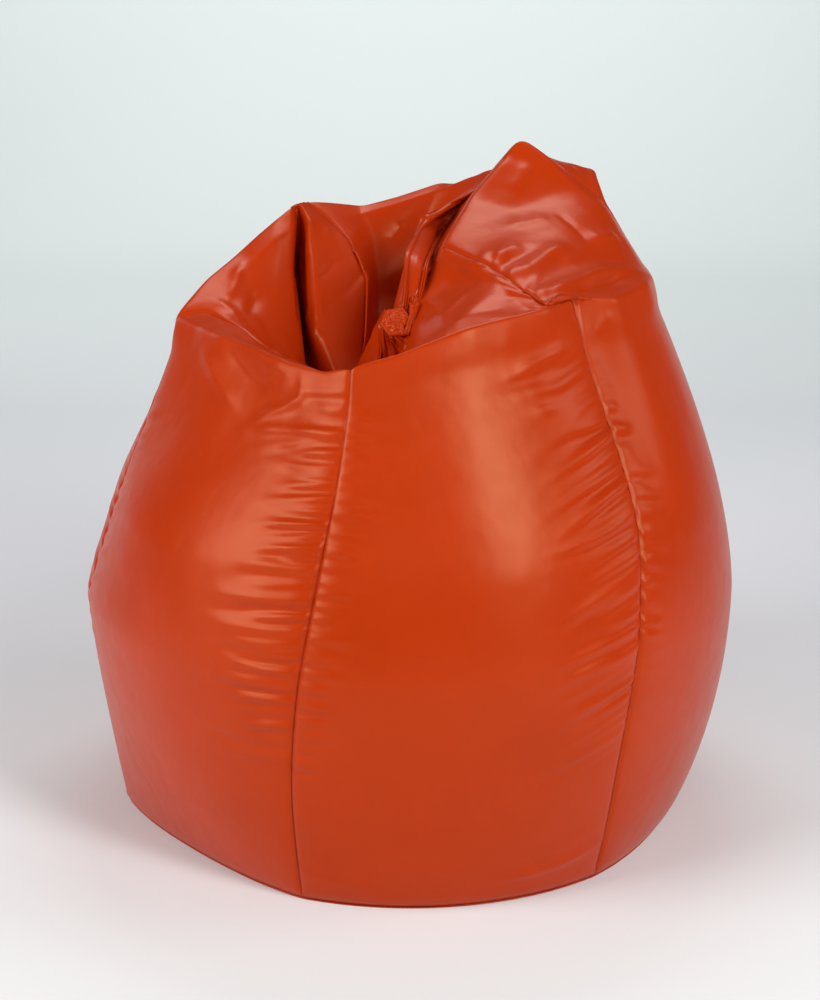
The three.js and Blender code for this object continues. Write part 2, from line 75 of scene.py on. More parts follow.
# The slack top, in centimetres. Each row is a line of cloth from the rim to the cap, at a place round the bag
# counted in panels from the front left seam: the rim, then four folds on the way in, and the edge of the cap's
# own patch. The right-hand rows rise over the high back before they go in.
TOP = (
    (0.0, ((-7, -31.5, 66), (-7, -29, 65), (-6.5, -25, 61),
         (-6, -20, 55), (-4.5, -15, 52), (-1, -12.5, 62))),
    (0.3, ((-1, -31, 67.5), (-1, -29, 66.2), (-0.5, -25, 65.5),
         (-0.5, -21, 64), (-0.5, -17, 63), (-0.5, -13, 64))),
    (0.6, ((7, -28.5, 70), (6.5, -26.8, 68.4), (5.5, -23, 69.5),
         (3, -19, 68), (1, -15.5, 67), (-0.5, -13, 65.5))),
    (0.85, ((16, -23.5, 71.2), (14.5, -22, 69.8), (11, -15, 72),
         (5, -9, 71), (2, -10, 69.5), (0, -12, 67.5))),
    (1.0, ((20, -17, 71), (16.5, -21.5, 71.2), (10.5, -11.5, 73.5),
         (4, -3, 75), (2, -5, 71), (0.5, -10.5, 69.5))),
    (1.35, ((25.3, -14.5, 70.6), (23.6, -12, 71.2), (18.5, -2, 76.5),
         (8, 6, 80), (4.5, 7, 74.5), (1, -8.5, 70.5))),
    (1.7, ((30, -7, 70.6), (28.2, -4.5, 71.3), (23, 4, 78), (13, 11, 84.5), (4.5, 10, 74.5), (2, -7, 71))),
    (1.85, ((31, -1, 70.4), (29.8, 0, 71.4), (24.5, 6.5, 78.5),
         (14.5, 12, 86.5), (4.5, 11, 75), (2, -6.5, 72.5))),
    (2.0, ((31, 5, 70), (30, 5, 71.5), (25.5, 9, 79), (17, 12.5, 84.5), (4.5, 12, 75), (2, -6, 73))),
    (2.5, ((23.5, 20, 74), (23.5, 17.5, 78), (24.5, 15, 81.5),
         (18, 15, 83), (4.5, 13, 76), (1, -5.5, 73.5))),
    (3.0, ((13, 25, 78), (12, 22, 81), (10.5, 17, 80), (7, 13, 79), (1.5, 7, 76.5), (-0.5, -5, 74))),
    (3.35, ((4, 25, 78.5), (3.5, 23, 77.5), (1.5, 21, 72), (-1, 17, 64.5), (-3, 9, 57), (-2.5, -5, 66))),
    (3.7, ((-6.5, 24, 75.5), (-6.5, 22, 74.5), (-5, 20, 71),
         (-4.5, 15, 64), (-4.5, 5, 56), (-4, -7.5, 64.5))),
    (4.0, ((-14.5, 18, 77.5), (-11, 17, 75), (-8, 15, 72.5),
         (-5.5, 10, 68), (-6, 1, 57), (-4.5, -8.5, 65))),
    (4.22, ((-15, 17, 77.5), (-13.5, 13, 75), (-13, 9, 70),
         (-12.5, 3, 63), (-8.5, -4, 56), (-4.5, -9.5, 65.5))),
    (4.32, ((-15.5, 16.5, 77), (-15, 17, 74.5), (-15.5, 16, 68),
         (-14.5, 9, 58), (-9.5, -4, 53), (-4, -10, 65))),
    (4.42, ((-16, 15.5, 77), (-15.5, 12, 74), (-15.5, 9, 69),
         (-13.5, 1, 58), (-10.5, -6, 52), (-4, -10.5, 64))),
    (4.55, ((-18, 13.5, 75.5), (-17.5, 10, 73.5), (-17.5, 6, 68.5),
         (-14.5, -2, 58), (-10, -8, 51.5), (-4, -11, 63))),
    (4.7, ((-22.5, 9, 72), (-21.5, 6, 70.5), (-20.5, 2, 67),
         (-15.5, -6, 58.5), (-10, -10, 51), (-3.5, -11.5, 62.5))),
    (4.85, ((-26.5, 3.5, 69.5), (-24.5, 2, 68.5), (-21.5, -2.5, 65.5),
         (-15.5, -9.5, 60), (-9.5, -12, 51), (-3.5, -12, 62))),
    (5.0, ((-30, -4, 66), (-26, -3, 66.5), (-21.5, -7, 65.5),
         (-15, -13, 62), (-9, -13.5, 51), (-3.5, -12, 62))),
    (5.35, ((-23, -16, 66), (-21.5, -14.5, 65.5), (-17.5, -15.5, 63.5),
         (-12.5, -17.5, 59), (-8, -14.5, 51), (-2.5, -12, 61.5))),
    (5.7, ((-14.5, -25.5, 65), (-13.5, -23.5, 64.5), (-12, -22, 62),
         (-10, -20, 57), (-7, -15.5, 51), (-2, -12.5, 61))),
    (5.88, ((-10, -29.5, 65), (-9.5, -27, 64), (-9, -24, 61),
         (-8, -20, 56), (-6, -15.5, 51.5), (-1.5, -12.5, 61))),
)
SHOULDER_DROP = 0.045  # below the rim, where the cage takes over from the body
CAP_CENTRE = Vector((-0.017, -0.122, 0.669))
CAP_NORMAL = Vector((-0.08, -0.8, 0.6)).normalized()
CAP_RADIUS = 0.021

STITCH_PITCH = 0.0044
STITCH_LENGTH = 0.0028
THREAD_RADIUS = 0.00038
YARN_ROUGHNESS = 0.85
SEAM_GAP = 0.0003  # from each panel's edge to the middle of its seam
ZIP_HALF = 0.240
ZIP_RISE = 0.008

# Rows of the mesh in each stretch: up the body, to the rim, and between the cage's lines to the cap.
ROWS = (165, 12, 12, 24, 26, 24, 20, 8)

FACETS = 4  # sets of bends over the slack top
FACET_HEIGHT = 0.0044

# Gathers off the side seams: seam, side (-1 left, 1 right), lowest and highest place along it, how many,
# reach, slope away from the seam and height, in metres.
GATHERS = (
    (0, -1, 0.19, 0.655, 34, 0.130, 0.02, 0.0046),
    (0, 1, 0.17, 0.65, 34, 0.060, -0.08, 0.0026),
    (1, -1, 0.20, 0.70, 34, 0.130, -0.30, 0.0042),
    (1, 1, 0.22, 0.68, 30, 0.050, -0.25, 0.0026),
    (1, -1, 0.77, 0.97, 6, 0.040, 0.1, 0.0026),
    (1, 1, 0.77, 0.97, 6, 0.045, -0.1, 0.0022),
    (2, -1, 0.15, 0.62, 22, 0.060, 0.10, 0.0018),
    (2, 1, 0.12, 0.64, 22, 0.065, 0.15, 0.0022),
    (3, -1, 0.12, 0.66, 24, 0.080, 0.12, 0.0024),
    (3, 1, 0.12, 0.66, 24, 0.070, -0.12, 0.0020),
    (4, -1, 0.12, 0.64, 24, 0.070, 0.12, 0.0022),
    (4, 1, 0.12, 0.64, 22, 0.070, -0.10, 0.0020),
    (5, -1, 0.20, 0.58, 20, 0.060, 0.20, 0.0018),
    (5, 1, 0.24, 0.58, 20, 0.060, 0.45, 0.0018),
)

# Single folds: the points each follows, in centimetres, then its half width and height in millimetres.
FOLDS = (
    (((-12.8, -27.5, 63.5), (-12.7, -28.5, 61.6), (-15, -27.2, 59.8),
      (-16.7, -25.9, 59), (-19.6, -24.8, 57)), 6, 5),
    (((-15.5, -28, 58.9), (-12.5, -30, 60), (-9.5, -31.5, 60.8)), 8, -3),
    (((-19.6, -24.8, 56.7), (-14.1, -29.3, 57.7), (-9.2, -32.5, 58.4)), 7, 5),
    (((-26, -12, 64.5), (-23.6, -17.5, 61), (-20, -23, 57.5)), 13, 4.5),
    (((-22.5, -16.8, 65), (-19.5, -21.6, 62), (-16.8, -25, 60.8)), 11, -3.5),
    (((-19, -19.5, 65.5), (-14.5, -26, 63.5)), 9, 3),
    (((12, -28.3, 64.2), (15.6, -25.5, 65.4), (20, -21.4, 66.3)), 8, 4.5),
    (((13, -28.8, 61.8), (18, -25.8, 62.4), (21.4, -23, 63.3)), 7, 4),
    (((12.7, -29.3, 59.8), (18, -27.5, 60), (21.6, -24, 61)), 7, 3.5),
    (((9, -30, 62.5), (15, -27.3, 63.6), (20, -23, 64.8)), 6, -2.5),
    (((10.8, -38, 3.8), (17.3, -35.7, 4.2), (23.9, -31.2, 6.1)), 7, 3.5),
    (((12, -37.3, 6.5), (18, -34.8, 7.2), (23.5, -31.5, 9)), 7, 2),
    (((-13.3, -36.9, 4.5), (-8, -37.8, 3.8), (-2, -38.3, 3.4)), 6, 2),
    (((-13.4, 13.6, 75), (-13.6, 11.2, 70.2), (-13.3, 7.1, 65.4), (-13.4, 5.7, 59.8)), 5, 4),
    (((-14.8, 15.4, 72.3), (-15.2, 9.3, 66.7), (-14.6, 3.9, 62.4)), 6, -5),
    (((-12.2, 5.8, 66.3), (-12.2, 3.3, 63.6), (-12.1, 2.4, 60.4)), 4.5, 7),
    (((-10.9, 5.3, 66.3), (-10.8, 2, 64), (-10.6, -0.5, 62)), 5, -4),
    (((-5.5, -9.1, 65.9), (-4.7, -11.2, 63.9)), 4, 5),
    (((-8, -3.7, 64.2), (-7.7, -7, 61.9)), 5, 4),
    (((-22.2, 6.4, 70.7), (-22.6, 3, 69), (-23.5, -0.4, 67.2)), 8, 4),
    (((-19.4, 3.7, 67.8), (-20.6, -1.6, 65.5)), 8, -4),
    (((-25.1, -0.9, 67.3), (-21.5, -3, 66)), 6, 2.5),
    (((10.1, -9.5, 74.5), (14, -6.1, 75.7)), 13, 6.5),
    (((11.2, -11.5, 73.6), (16, -6.6, 75.4)), 6, -3),
    (((12.5, -14, 72.7), (14.8, -11.5, 74.1), (17.7, -7.3, 74.9), (20.5, -4.5, 75.4)), 15, 9),
    (((15, -18.2, 71.9), (16.7, -15.6, 72.7)), 7, 4),
    (((16, -18.2, 71.8), (18.2, -15.7, 72.2), (20.9, -12.3, 72.5),
      (24.7, -7.5, 72.5), (29, -3, 71.9)), 13, 10),
    (((19.5, -16.1, 71.5), (23.5, -11.2, 71.3), (26.9, -6.4, 71.5)), 7, -5),
    (((12.3, -1.2, 77), (15.2, -0.6, 77.3), (18, 1, 77.6)), 11, 4),
    (((13.2, 4.9, 80), (15.8, 9.9, 83.7)), 12, 4),
    (((22.7, -2.1, 75.6), (27, 2, 75)), 12, 5),
    (((7.4, -13.3, 71.1), (3.7, -18.7, 68.5)), 8, 2.5),
    (((1.9, -10.4, 69.3), (3.5, -13.5, 68.8)), 5, 3),
)


class CoverSizes(bpy.types.PropertyGroup):
    belly_radius: bpy.props.FloatProperty(
        name="Belly radius", description="Radius at the widest height", default=0.4245,
        min=0.3, max=0.6, unit="LENGTH")
    cloth: bpy.props.FloatProperty(
        name="Cloth", description="Thickness of the coated cloth", default=0.0014,
        min=0.0005, max=0.004, unit="LENGTH")
    allowance: bpy.props.FloatProperty(
        name="Seam allowance", description="Cloth turned in along each seam", default=0.006,
        min=0.002, max=0.02, unit="LENGTH")
    groove_depth: bpy.props.FloatProperty(
        name="Groove depth", description="How far a seam is drawn in", default=0.0024,
        min=0, max=0.01, unit="LENGTH")
    groove_width: bpy.props.FloatProperty(
        name="Groove width", description="Half width of a seam's groove", default=0.0035,
        min=0.001, max=0.02, unit="LENGTH")
    gather: bpy.props.FloatProperty(
        name="Gathers", description="Strength of the small folds off the seams", default=1.0,
        min=0, max=3, subtype="FACTOR")
    seed: bpy.props.IntProperty(name="Seed", description="Sets where the gathers fall", default=7, min=0)


class CoverLook(bpy.types.PropertyGroup):
    colour: bpy.props.FloatVectorProperty(
        name="Colour", description="Colour of the coated cloth", default=(0.47, 0.031, 0.0006),
        min=0, max=1, size=3, subtype="COLOR")
    roughness: bpy.props.FloatProperty(
        name="Roughness", description="Roughness of the coating", default=0.32, min=0, max=1,
            subtype="FACTOR")
    grain: bpy.props.FloatProperty(
        name="Grain", description="Strength of the fine grain", default=0.12, min=0, max=1,
            subtype="FACTOR")


class StageSettings(bpy.types.PropertyGroup):
    lens: bpy.props.FloatProperty(
        name="Lens", description="Focal length in millimetres", default=81.65, min=20, max=300)
    distance: bpy.props.FloatProperty(
        name="Distance", description="From the camera to the chair's middle", default=3.0,
        min=1, max=10, unit="LENGTH")
    elevation: bpy.props.FloatProperty(
        name="Elevation", description="How far the camera looks down", default=math.radians(17),
        min=0, max=1.5, unit="ROTATION")


# ---- The shared surface ----

def across_places():
    """Places across a panel, close together beside its seams."""
    near = [0, 0.0035, 0.007, 0.0115, 0.018, 0.027, 0.039, 0.054]
    return np.array(near + list(np.linspace(0.070, 0.930, 62)) + [1 - a for a in reversed(near)])


def side_profile(turn, height, belly):
    """Radius of the body in a direction, in degrees, at a height. The left side is straighter and cornered."""
    below = np.clip((BELLY - height) / BELLY, 0, 1)
    above = np.clip(height - BELLY, 0, 1)
    right = belly - 0.048 * below ** 2 - 0.50 * above ** 1.545
    left = belly - 0.038 * below ** 2 - 0.43 * above ** 1.35
    slack = 0.008 * np.logaddexp(0, (height - BELLY) / 0.008)
    cornered = belly + 0.003 - 0.040 * below ** 1.2 - 0.35 * slack
    lean = 0.5 + 0.5 * np.sin(np.radians(turn))
    radius = left + (right - left) * lean
    away = (turn - SEAM_TURNS[CORNERED_SEAM] + 180) % 360 - 180
    corner = np.exp(-(away / CORNER_REACH) ** 2)
    return radius + (cornered - radius) * corner


def smoothstep(value):
    value = np.clip(value, 0, 1)
    return value * value * (3 - 2 * value)


def blur(values, times):
    """Smooths values that run once round the bag."""
    for i in range(times):
        values = (values + (np.roll(values, 1) + np.roll(values, -1)) / 2) / 2
    return values


def soften(grid, times_across, times_along, weight):
    """Rounds the folds of a grid that is closed across, more where weight is near 1."""
    for i in range(max(times_across, times_along)):
        if i < times_across:
            mean = (np.roll(grid, 1, 0) + np.roll(grid, -1, 0)) / 2
            grid = grid + weight * (mean - grid) / 2
        if i < times_along:
            mean = grid.copy()
            mean[:, 1:-1] = (grid[:, :-2] + grid[:, 2:]) / 2
            grid = grid + weight * (mean - grid) / 2
    return grid


def normals(grid):
    """Outward normals of a grid that is closed across."""
    across = np.roll(grid, -1, 0) - np.roll(grid, 1, 0)
    along = np.gradient(grid, axis=1)
    out = np.cross(across, along)
    return out / np.maximum(np.linalg.norm(out, axis=2, keepdims=True), 1e-12)


def plain_surface(sizes):
    """The whole cover before its seams and small folds, as a grid: round the bag, then from foot to cap."""
    places = across_places()
    rounds = np.concatenate([panel + places[:-1] for panel in range(PANELS)])
    stations = np.array([row[0] for row in TOP])
    cage = np.array([row[1] for row in TOP]) * CM
    lines = np.stack([
        np.stack([np.interp(rounds, stations, cage[:, ring, axis], period=PANELS) for axis in range(3)],
            axis=1)
        for ring in range(cage.shape[1])], axis=1)
    rim = lines[:, 0]
    seam_ends = np.array(SEAM_TURNS + (SEAM_TURNS[0] + 360,))
    low_turn = np.interp(rounds, np.arange(PANELS + 1), seam_ends)
    high_turn = np.degrees(np.arctan2(rim[:, 0], -rim[:, 1]))
    high_turn += 360 * np.round((low_turn - high_turn) / 360)
    high_turn = blur(high_turn - low_turn, 60) + low_turn
    shoulder = blur(rim[:, 2] - SHOULDER_DROP, 60)
    aim = blur(np.maximum(np.hypot(rim[:, 0], rim[:, 1]), np.hypot(lines[:, 1, 0], lines[:, 1,
        1])) + 0.012, 60)
    formula = side_profile(high_turn, shoulder, sizes.belly_radius)
    flats = np.array(FOOT_FLATS)[rounds.astype(int)]
    columns = []
    for share in np.linspace(0, 1, ROWS[0], endpoint=False):
        height = FOOT + (shoulder - FOOT) * share
        drift = smoothstep((height / rim[:, 2] - 0.15) / 0.85)
        turn = low_turn + (high_turn - low_turn) * drift
        radius = side_profile(turn, height, sizes.belly_radius)
        fit = smoothstep((height - 0.42) / (shoulder - 0.42))
        radius = radius * (1 + (aim / formula - 1) * fit)
        crown = np.sin(np.pi * (rounds % 1))
        radius = radius - flats * crown * np.exp(-height / 0.13) + crown * 0.004 * (1 - fit)
        radius = radius - 0.004 * np.exp(-(height - FOOT) / 0.006)
        angle = np.radians(turn)
        columns.append(np.stack([radius * np.sin(angle), -radius * np.cos(angle), height], axis=1))
    angle = np.radians(high_turn)
    top_of_body = np.stack([aim * np.sin(angle), -aim * np.cos(angle), shoulder], axis=1)
    stops = [top_of_body] + [lines[:, ring] for ring in range(lines.shape[1])] + [cap_ring(rounds)]
    for start, end, count in zip(stops, stops[1:], ROWS[1:]):
        for share in np.linspace(0, 1, count, endpoint=False):
            columns.append(start + (end - start) * share)
    columns.append(stops[-1])
    grid = np.stack(columns, axis=1)
    rows = np.arange(grid.shape[1])
    weight = smoothstep((rows - ROWS[0] + 25) / 25.0) * smoothstep((len(rows) - 1 - rows) / 6.0)
    return soften(grid, 3, 5, weight[None, :, None])


def cap_ring(rounds):
    """Points round the cap's edge for places round the bag."""
    side = CAP_NORMAL.cross(Vector((0, 0, 1))).normalized()
    side = -side if side.x < 0 else side
    up = CAP_NORMAL.cross(side).normalized()
    up = -up if up.z < 0 else up
    angle = np.radians(np.interp(rounds, np.arange(PANELS + 1),
        np.array(SEAM_TURNS + (SEAM_TURNS[0] + 360,))))
    flat = CAP_RADIUS * np.cos(np.pi / PANELS) / np.cos(((rounds % 1) - 0.5) * np.pi / 3)
    return (np.array(CAP_CENTRE) + flat[:, None] * (
        np.sin(angle)[:, None] * np.array(side) - np.cos(angle)[:, None] * np.array(up)))


def seam_distances(grid, count):
    """How far each point is from the seam on its left and on its right, and how far up its column."""
    steps = np.linalg.norm(np.roll(grid, -1, 0) - grid, axis=2)
    left = np.zeros(grid.shape[:2])
    right = np.zeros(grid.shape[:2])
    for panel in range(PANELS):
        part = steps[panel * count:(panel + 1) * count]
        total = np.cumsum(part, axis=0)
        left[panel * count:(panel + 1) * count] = total - part
        right[panel * count:(panel + 1) * count] = total[-1] - (total - part)
    rises = np.linalg.norm(np.diff(grid, axis=1), axis=2)
    climb = np.concatenate([np.zeros((grid.shape[0], 1)), np.cumsum(rises, axis=1)], axis=1)
    return left, right, climb


def gathers(shape, left, right, climb, count, sizes):
    """Height of the small folds that the stitching draws off each side seam."""
    rise = np.zeros(shape)
    chance = random.Random(sizes.seed)
    for seam, side, low, high, number, reach, slope, height in GATHERS:
        panel = seam if side > 0 else (seam - 1) % PANELS
        part = slice(panel * count, (panel + 1) * count)
        away = left[part] if side > 0 else right[part]
        for i in range(number):
            place = low + (high - low) * (i + 0.5 + chance.uniform(-0.35, 0.35)) / number
            ends = math.sin(math.pi * (i + 0.5) / number) ** 0.4
            long = reach * chance.uniform(0.55, 1.25)
            width = chance.uniform(0.0042, 0.0078)
            tall = height * chance.uniform(0.5, 1.3) * ends
            tilt = slope + chance.uniform(-0.06, 0.06)
            bend = chance.uniform(-0.7, 0.7)
            middle = place + tilt * away + bend * away ** 2
            offset = (climb[part] - middle) / (width * (1 + 3 * away))
            ridge = np.exp(-offset ** 2) - 0.55 * np.exp(-((offset + 1.5) / 0.8) ** 2)
            fade = smoothstep(1.5 * (1 - away / long)) * (1 - 0.85 * np.exp(-away / 0.005))
            rise[part] += tall * ridge * fade
    return rise * sizes.gather


def crease(away, width):
    """Section of a fold: flat sides that meet in a narrow edge."""
    edge = 0.0016
    return np.exp(-(np.sqrt(away ** 2 + edge ** 2) - edge) / width) * np.exp(-(away / (2.2 * width)) ** 2)


def single_folds(grid):
    """Height of the listed folds."""
    rise = np.zeros(grid.shape[:2])
    for points, width, height in FOLDS:
        points = np.array(points) * CM
        away = np.full(grid.shape[:2], 9.0)
        place = np.zeros(grid.shape[:2])
        for i, (start, end) in enumerate(zip(points, points[1:])):
            along = end - start
            share = np.clip(((grid - start) @ along) / (along @ along), 0, 1)
            distance = np.linalg.norm(grid - start - share[..., None] * along, axis=2)
            place = np.where(distance < away, (i + share) / (len(points) - 1), place)
            away = np.minimum(away, distance)
        fade = smoothstep(place / 0.3) * smoothstep((1 - place) / 0.3)
        rise += height * 1e-3 * crease(away, width * 1e-3) * (0.25 + 0.75 * fade)
    return rise


def crumple(grid, sizes):
    """Height of small folds scattered over the slack top."""
    rise = np.zeros(grid.shape[:2])
    chance = random.Random(sizes.seed + 1)
    for i in range(45):
        column = chance.randrange(grid.shape[0])
        row = chance.randrange(ROWS[0] + 4, grid.shape[1] - 40)
        end = grid[(column + chance.randint(-12, 12)) % grid.shape[0],
                   min(row + chance.randint(-14, 14), grid.shape[1] - 1)]
        start = grid[column, row]
        along = end - start
        share = ((grid - start) @ along) / max(along @ along, 1e-6)
        distance = np.linalg.norm(grid - start - np.clip(share, 0, 1)[..., None] * along, axis=2)
        tall = chance.choice((-1, 1, 1)) * chance.uniform(0.0008, 0.0024)
        fade = smoothstep(1.6 - 1.6 * np.abs(share - 0.5))
        rise += tall * crease(distance, chance.uniform(0.006, 0.011)) * fade
    return rise


def facets(grid, climb, sizes):
    """Height of broad flat facets over the slack top, where the cloth is bent along nearly straight lines."""
    rise = np.zeros(grid.shape[:2])
    chance = random.Random(sizes.seed + 2)
    for i in range(FACETS):
        across, bend, spread = (np.array([chance.uniform(-1,
            1) for axis in range(3)]) for vector in range(3))
        length = chance.uniform(0.10, 0.16)
        place = grid @ across / np.linalg.norm(across) / length + 0.08 * np.sin(grid @ bend / 0.04)
        fold = np.sqrt((place % 1 - 0.5) ** 2 + 0.0002) * 2
        strength = smoothstep(0.6 + np.sin(grid @ spread / 0.06))
        rise += chance.uniform(0.6, 1.0) * FACET_HEIGHT * (fold - 0.5) * strength
    rows = np.arange(grid.shape[1])
    to_cap = climb[:, -1:] - climb
    return rise * smoothstep((rows - ROWS[0] + 4) / 12)[None] * smoothstep((to_cap - 0.07) / 0.09)


SURFACE = {}


def surface():
    """The finished grid with its normals, worked out once."""
    if SURFACE:
        return SURFACE
    sizes = bpy.context.scene.cover_sizes
    count = len(across_places()) - 1
    grid = plain_surface(sizes)
    out = normals(grid)
    left, right, climb = seam_distances(grid, count)
    nearest = np.minimum(left, right)
    rise = gathers(grid.shape[:2], left, right, climb, count, sizes)
    rise += single_folds(grid) + crumple(grid, sizes) + facets(grid, climb, sizes)
    rise -= sizes.groove_depth * np.exp(-(nearest / sizes.groove_width) ** 2)
    rise -= 0.0018 * np.exp(-(nearest / 0.014) ** 2)
    whole = climb[:, -1:]
    to_cap = whole - climb
    turn = np.arange(grid.shape[0]) / count
    rise += 0.0012 * np.sin(turn * 2 * math.pi * 5)[:, None] * np.exp(-((to_cap - 0.012) / 0.014) ** 2)
    foot = smoothstep(climb / 0.02)
    grid = grid + out * (rise * foot)[..., None]
    out = normals(grid)
    steady = out.copy()
    for i in range(12):
        steady[:, 1:-1] = (steady[:, :-2] + 2 * steady[:, 1:-1] + steady[:, 2:]) / 4
    SURFACE.update(grid=grid, normals=out, steady=steady, count=count)
    return SURFACE


# ---- Making objects ----

def new_piece(name, points, faces, material, body="bag"):
    """A piece from points and faces, at the origin, with its material and the body it rides on."""
    mesh = bpy.data.meshes.new(name)
    mesh.from_pydata([tuple(p) for p in points], [], faces)
    mesh.validate()
    mesh.polygons.foreach_set("use_smooth", [True] * len(mesh.polygons))
    piece = bpy.data.objects.new(name, mesh)
    bpy.context.scene.collection.objects.link(piece)
    mesh.materials.append(material)
    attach(piece, body)
    return piece


def grid_faces(wide, tall):
    """Quads over a grid stored column by column: tall points in each of wide columns."""
    return [(i * tall + j, (i + 1) * tall + j, (i + 1) * tall + j + 1, i * tall + j + 1)
            for i in range(wide - 1) for j in range(tall - 1)]


def thicken(piece, thickness):
    """Gives a sheet its thickness, inwards from the surface that it is drawn on."""
    wall = piece.modifiers.new("Cloth", "SOLIDIFY")
    wall.thickness = thickness
    wall.offset = -1.0


# ---- Materials ----

def new_material(name):
    material = bpy.data.materials.new(name)
    material.use_nodes = True
    tree = material.node_tree
    return material, tree, tree.nodes["Principled BSDF"]


def link_noise(tree, coordinates, scale, detail=3.0, rough=0.5):
    noise = tree.nodes.new("ShaderNodeTexNoise")
    noise.inputs["Scale"].default_value = scale
    noise.inputs["Detail"].default_value = detail
    noise.inputs["Roughness"].default_value = rough
    tree.links.new(coordinates, noise.inputs["Vector"])
    return noise.outputs["Fac"]


def link_bump(tree, height, strength, distance, below=None):
    bump = tree.nodes.new("ShaderNodeBump")
    bump.inputs["Strength"].default_value = strength
    bump.inputs["Distance"].default_value = distance
    tree.links.new(height, bump.inputs["Height"])
    if below is not None:
        tree.links.new(below, bump.inputs["Normal"])
    return bump.outputs["Normal"]


def link_ramp(tree, value, stops):
    ramp = tree.nodes.new("ShaderNodeValToRGB")
    while len(ramp.color_ramp.elements) < len(stops):
        ramp.color_ramp.elements.new(0.5)
    for element, (place, colour) in zip(ramp.color_ramp.elements, stops):
        element.position = place
        element.color = tuple(colour) + (1.0,)
    tree.links.new(value, ramp.inputs["Fac"])
    return ramp.outputs["Color"]


def coated_cloth():
    """Glossy coated cloth: a fine grain, a slight orange-peel, and colour that shifts a little."""
    look = bpy.context.scene.cover_look
    material, tree, shader = new_material("coated_cloth")
    place = tree.nodes.new("ShaderNodeTexCoord").outputs["Object"]
    colour = tuple(look.colour)
    darker = [c * 0.95 for c in colour]
    lighter = [min(1.0, c * 1.04 + 0.001) for c in colour]
    blotches = link_noise(tree, place, 6.0, 4.0, 0.6)
    tree.links.new(link_ramp(tree, blotches, ((0.32, darker), (0.68, lighter))),
        shader.inputs["Base Color"])
    gloss = tree.nodes.new("ShaderNodeMapRange")
    gloss.inputs["To Min"].default_value = look.roughness - 0.05
    gloss.inputs["To Max"].default_value = look.roughness + 0.07
    tree.links.new(link_noise(tree, place, 38.0, 4.0, 0.65), gloss.inputs["Value"])
    tree.links.new(gloss.outputs["Result"], shader.inputs["Roughness"])
    swell = link_bump(tree, link_noise(tree, place, 16.0, 2.0, 0.5), 0.2, 0.008)
    ripple = link_bump(tree, link_noise(tree, place, 70.0, 3.0, 0.5), 0.18, 0.0012, swell)
    grain = link_bump(tree, link_noise(tree, place, 1300.0, 2.0, 0.6), look.grain, 0.0004, ripple)
    tree.links.new(grain, shader.inputs["Normal"])
    shader.inputs["IOR"].default_value = 1.5
    shader.inputs["Specular IOR Level"].default_value = 0.36
    shader.inputs["Specular Tint"].default_value = (1.0, 0.66, 0.36, 1.0)
    return material


def sewing_thread():
    material, tree, shader = new_material("sewing_thread")
    place = tree.nodes.new("ShaderNodeTexCoord").outputs["Object"]
    twist = link_noise(tree, place, 900.0, 2.0, 0.6)
    tree.links.new(link_ramp(tree, twist, ((0.3, (0.24, 0.014, 0.001)), (0.7, (0.34, 0.024, 0.003)))),
                   shader.inputs["Base Color"])
    tree.links.new(link_bump(tree, twist, 0.5, 0.0004), shader.inputs["Normal"])
    shader.inputs["Roughness"].default_value = 0.7
    return material


def woven(name, dark, light, scale):
    """A plain weave: two crossed sets of yarns, with uneven colour."""
    material, tree, shader = new_material(name)
    place = tree.nodes.new("ShaderNodeTexCoord").outputs["Object"]
    heights = []
    for direction in ("X", "Y"):
        wave = tree.nodes.new("ShaderNodeTexWave")
        wave.bands_direction = direction
        wave.inputs["Scale"].default_value = scale
        wave.inputs["Distortion"].default_value = 0.6
        tree.links.new(place, wave.inputs["Vector"])
        heights.append(wave.outputs["Fac"])
    cross = tree.nodes.new("ShaderNodeMath")
    cross.operation = "MAXIMUM"
    tree.links.new(heights[0], cross.inputs[0])
    tree.links.new(heights[1], cross.inputs[1])
    tree.links.new(link_ramp(tree, cross.outputs[0], ((0.2, dark), (0.9, light))),
        shader.inputs["Base Color"])
    tree.links.new(link_bump(tree, cross.outputs[0], 0.6, 0.0005), shader.inputs["Normal"])
    shader.inputs["Roughness"].default_value = YARN_ROUGHNESS
    return material


def moulded_teeth():
    material, tree, shader = new_material("moulded_teeth")
    place = tree.nodes.new("ShaderNodeTexCoord").outputs["Object"]
    grain = link_noise(tree, place, 600.0, 3.0, 0.6)
    tree.links.new(link_ramp(tree, grain, ((0.3, (0.42, 0.05, 0.012)), (0.7, (0.55, 0.08, 0.02)))),
                   shader.inputs["Base Color"])
    tree.links.new(link_bump(tree, grain, 0.2, 0.0002), shader.inputs["Normal"])
    shader.inputs["Roughness"].default_value = 0.42
    return material


def plated_metal():
    material, tree, shader = new_material("plated_metal")
    place = tree.nodes.new("ShaderNodeTexCoord").outputs["Object"]
    scratches = link_noise(tree, place, 420.0, 5.0, 0.7)
    tree.links.new(link_ramp(tree, scratches, ((0.3, (0.5, 0.49, 0.47)), (0.7, (0.72, 0.71, 0.69)))),
                   shader.inputs["Base Color"])
    rough = tree.nodes.new("ShaderNodeMapRange")
    rough.inputs["To Min"].default_value = 0.2
    rough.inputs["To Max"].default_value = 0.42
    tree.links.new(scratches, rough.inputs["Value"])
    tree.links.new(rough.outputs["Result"], shader.inputs["Roughness"])
    tree.links.new(link_bump(tree, scratches, 0.15, 0.0002), shader.inputs["Normal"])
    shader.inputs["Metallic"].default_value = 1.0
    return material


